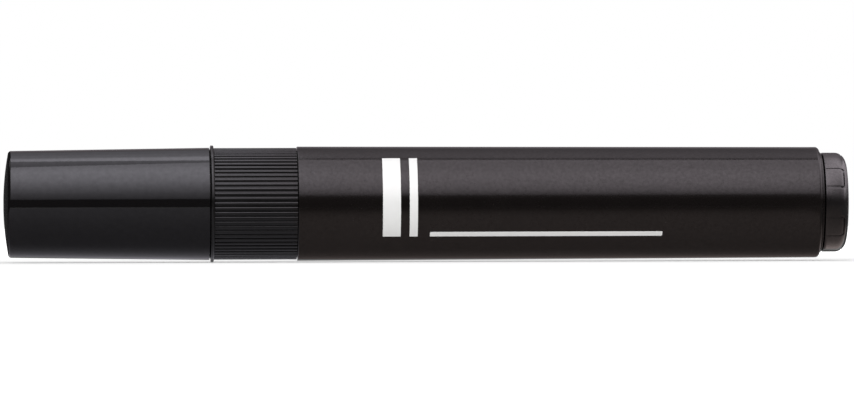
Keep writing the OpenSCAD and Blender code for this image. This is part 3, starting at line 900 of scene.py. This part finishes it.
cool = (1, 0.97, 1.07, 1)
rosy = (1, 0.9, 0.97, 1)
warm = (1.12, 0.93, 0.89, 1)
# Each painted sheet glows in the marker's reflections only and lights nothing. The softboxes, strips and
# gaps paint its highlights, the flags and back cards paint darker reflections, and the front cards paint
# the floor with its shade near the marker.
for name, tint, x0, x1, start, stop, near, far, steps in (
    ("cap_painted_softbox", cool, left_x, join_x, (9.5, 0.6), (100, 0.5), (9.5, 9.5), (75.5, 97), (
        (9.5, 0.7), (15, 1.45), (21, 2), (30, 3.25), (40, 4.8), (50, 6.4), (60, 7.2), (70, 7.4), (80, 6.2),
        (84, 5.4), (88, 4.8), (92, 4.3), (100, 3.9))),
    ("cap_painted_strip", cool, left_x, join_x, (95, 0.46), (145, 0.46), (110, 98.9), (145, 145), (
        (95, 4.8), (104, 4.8), (108, 4.4), (112, 3.6), (115, 2.4), (118, 1.75), (124, 1.35), (130, 0.9),
        (136, 0.65), (145, 0.4))),
    ("cap_gap", cool, left_x, join_x, (70, 0.65), (112, 0.65), (70, 70), (112, 112), (
        (70, 2.2), (112, 2.2))),
    ("barrel_painted_softbox", rosy, join_x, right_x, (14, 0.6), (100, 0.5), (14.8, 18), (99.5, 99.5), (
        (14, 0.5), (18, 1.6), (21, 2.4), (24, 3), (30, 3.9), (40, 4.85), (50, 5.3), (60, 5.4), (70, 4.65),
        (80, 3.95), (90, 3.35), (100, 3))),
    ("barrel_painted_strip", rosy, join_x, right_x, (100, 0.46), (150, 0.46), (103.5, 103.5), (150, 150), (
        (100, 1.5), (108, 1.5), (112, 1.35), (120, 0.95), (130, 0.55), (140, 0.32), (150, 0.2))),
    ("barrel_painted_gap", rosy, join_x, right_x, (95, 0.65), (110, 0.65), (95, 95), (110, 110), (
        (95, 0.6), (110, 0.6))),
    ("cap_painted_flag", cool, -0.25, flag_join_x, (-6.3, 0.08), (9.5, 0.08), (-6.3, -6.3), (9.5, 9.5), (
        (-6.3, 0.04), (9.5, 0.04))),
    ("barrel_painted_flag", rosy, flag_join_x, 0.3, (-7.6, 0.065), (18, 0.065), (-7.6, -7.6), (14.8, 18), (
        (-7.6, 0.05), (8, 0.05), (12, 0.2), (18, 0.5))),
    # The front cards lie just over the floor in front of the marker. Their glow, given at distances in
    # front of its axis, paints the reflected floor and its shade near the marker.
    ("cap_painted_front_card", cool, left_x, floor_join_x, on_floor(0.001), on_floor(0.064), None, None, (
        (0.001, 0.66), (0.003, 0.6), (0.0046, 0.45), (0.0054, 0.4), (0.0076, 0.46), (0.0106, 0.55),
        (0.016, 0.68), (0.021, 0.77), (0.03, 0.87), (0.064, 0.97))),
    ("grip_painted_front_card", cool, floor_join_x, barrel_front, on_floor(0.001), on_floor(0.064), None, None, (
        (0.001, 0.95), (0.003, 0.9), (0.0046, 0.9), (0.0064, 0.85), (0.0089, 0.85), (0.0128, 0.7),
        (0.016, 0.62), (0.021, 0.55), (0.03, 0.36), (0.04, 0.2), (0.05, 0.1), (0.064, 0.05))),
    ("barrel_painted_front_card", warm, barrel_front, 0.0635, on_floor(0.001), on_floor(0.064), None, None, (
        (0.001, 0.25), (0.003, 0.25), (0.0046, 0.33), (0.0064, 0.52), (0.0089, 0.68), (0.0128, 0.72),
        (0.016, 0.74), (0.021, 0.68), (0.03, 0.45), (0.04, 0.22), (0.05, 0.1), (0.064, 0.05))),
    ("plug_painted_front_card", warm, 0.0635, 0.3, on_floor(0.001), on_floor(0.064), None, None, (
        (0.001, 1), (0.0021, 1), (0.0045, 0.6), (0.0068, 0.56), (0.0127, 0.33), (0.03, 0.23),
        (0.064, 0.1))),
    ("plug_painted_softbox", rosy, 0.0664, 0.2, (8, 0.05), (100, 0.04), (8, 8), (100, 100), (
        (8, 0.2), (14, 0.5), (27, 1.6), (40, 2.6), (51, 3.3), (60, 3.8), (69, 4), (85, 3.7), (100, 3.1))),
    ("plug_painted_strip", rosy, 0.0664, 0.095, (100, 0.04), (150, 0.06), (100, 100), (150, 150), (
        (100, 2.9), (108, 2), (116, 1.15), (124, 0.65), (132, 0.4), (150, 0.25))),
    ("right_painted_strip", rosy, 0.095, 0.2, (100, 0.04), (150, 0.06), (100, 100), (150, 150), (
        (100, 3.9), (108, 3.4), (116, 2.8), (132, 1.7), (150, 1))),
    ("plug_back_painted_card", rosy, 0.0664, 0.1, (150, 0.06), (187, 0.055), (150, 150), (187, 187), (
        (150, 0.25), (161, 0.17), (170, 0.12), (187, 0.06))),
    ("right_back_painted_card", rosy, 0.1, 0.2, (150, 0.06), (187, 0.055), (150, 150), (187, 187), (
        (150, 1), (160, 0.85), (168, 0.45), (174, 0.2), (178, 0.08), (187, 0.06))),
    ("back_painted_flag", rosy, -0.5, 0.5, (145, 0.5), (179.9, 0.5), (145, 145), (179.9, 179.9), (
        (145, 0.3), (179.9, 0.3))),
):
    near = near or (start[0], start[0])
    far = far or (stop[0], stop[0])
    if name.endswith("front_card"):
        steps = [(on_floor(front)[0], strength) for front, strength in steps]
    glow, nodes, links = painted_reflection_card(name, [
        on_sheet(near[0], x0, start, stop), on_sheet(near[1], x1, start, stop),
        on_sheet(far[1], x1, start, stop), on_sheet(far[0], x0, start, stop)])
    foot = toward(*start, 0)
    run = toward(*stop, 0) - foot
    place = nodes.new("ShaderNodeTexCoord")
    from_foot = nodes.new("ShaderNodeVectorMath")
    from_foot.operation = "SUBTRACT"
    from_foot.inputs[1].default_value = foot
    links.new(place.outputs["Object"], from_foot.inputs[0])
    share = nodes.new("ShaderNodeVectorMath")
    share.operation = "DOT_PRODUCT"
    share.inputs[1].default_value = run / run.length_squared
    links.new(from_foot.outputs["Vector"], share.inputs[0])
    fade = nodes.new("ShaderNodeFloatCurve")
    top = max(strength for elevation, strength in steps)
    curve = fade.mapping.curves[0]
    curve.points[0].location = (0, steps[0][1] / top)
    curve.points[-1].location = (1, steps[-1][1] / top)
    for elevation, strength in steps[1:-1]:
        at = (on_sheet(elevation, 0, start, stop) - foot).dot(run) / run.length_squared
        curve.points.new(at, strength / top)
    for point in curve.points:
        point.handle_type = "VECTOR"
    fade.mapping.update()
    links.new(share.outputs["Value"], fade.inputs["Value"])
    power = nodes.new("ShaderNodeMath")
    power.operation = "MULTIPLY"
    power.inputs[1].default_value = top
    links.new(fade.outputs["Value"], power.inputs[0])
    links.new(power.outputs[0], glow.inputs["Strength"])
    glow.inputs["Color"].default_value = tint
cap_tip = cap_front - 0.2 * mm
# Painted reflections of one glow each, seen only in reflections: dark painted flags round the cap and plug,
# and a bright painted card beyond the plug's end.
for name, corner, across, along, strength in (
    ("cap_side_painted_flag", (-0.11, -0.1, 0.0005), (0, 0.112, 0), (0, 0, 0.1), 0.02),
    ("cap_back_painted_flag", (-0.13, 0.012, 0.0005), (0.13 + cap_tip, 0, 0), (0, 0, 0.045), 0.035),
    ("cap_low_painted_flag", (-0.11, -0.05, 0.0004), (0.11 + cap_tip, 0, 0), (0, 0.062, 0), 0.02),
    ("plug_right_painted_flag", (0.075, -0.06, 0.0008), (0.2, 0, 0), (0, 0.12, 0), 0.2),
    ("plug_behind_painted_flag", (0.0625, 0, 0.0008), (0.2, 0, 0), (0, 0.06, 0), 0.13),
    ("right_painted_flag", (0.28, -0.4, 0.001), (0, 0.8, 0), (0, 0, 0.03), 0.1),
    ("plug_painted_card", (0.3, -0.5, 0.1), (0, 0.6, 0), (0, 0, 0.6), 2.5),
):
    corner, across, along = Vector(corner), Vector(across), Vector(along)
    glow, nodes, links = painted_reflection_card(name, [corner, corner + across, corner + across + along, corner + along])
    glow.inputs["Strength"].default_value = strength

# Camera: a long lens 1.3 m in front of the marker and a little to its left, nearly level with its axis, so
# that the marker shows from the side with hardly any perspective.
eye_z = 8.98 * mm
lens = bpy.data.cameras.new("camera")
lens.sensor_width = 36
lens.lens = 346.7
lens.clip_start = 0.01
lens.clip_end = 20
camera = bpy.data.objects.new("camera", lens)
bpy.context.scene.collection.objects.link(camera)
camera.location = (-64 * mm, -1300 * mm, eye_z)
aim = Vector((0.29 * mm, 0, eye_z)) - camera.location
camera.rotation_mode = "XYZ"
camera.rotation_euler = (math.pi / 2, math.radians(0.165), -math.atan2(aim.x, aim.y))
bpy.context.scene.camera = camera
bpy.context.scene.view_settings.view_transform = "Standard"
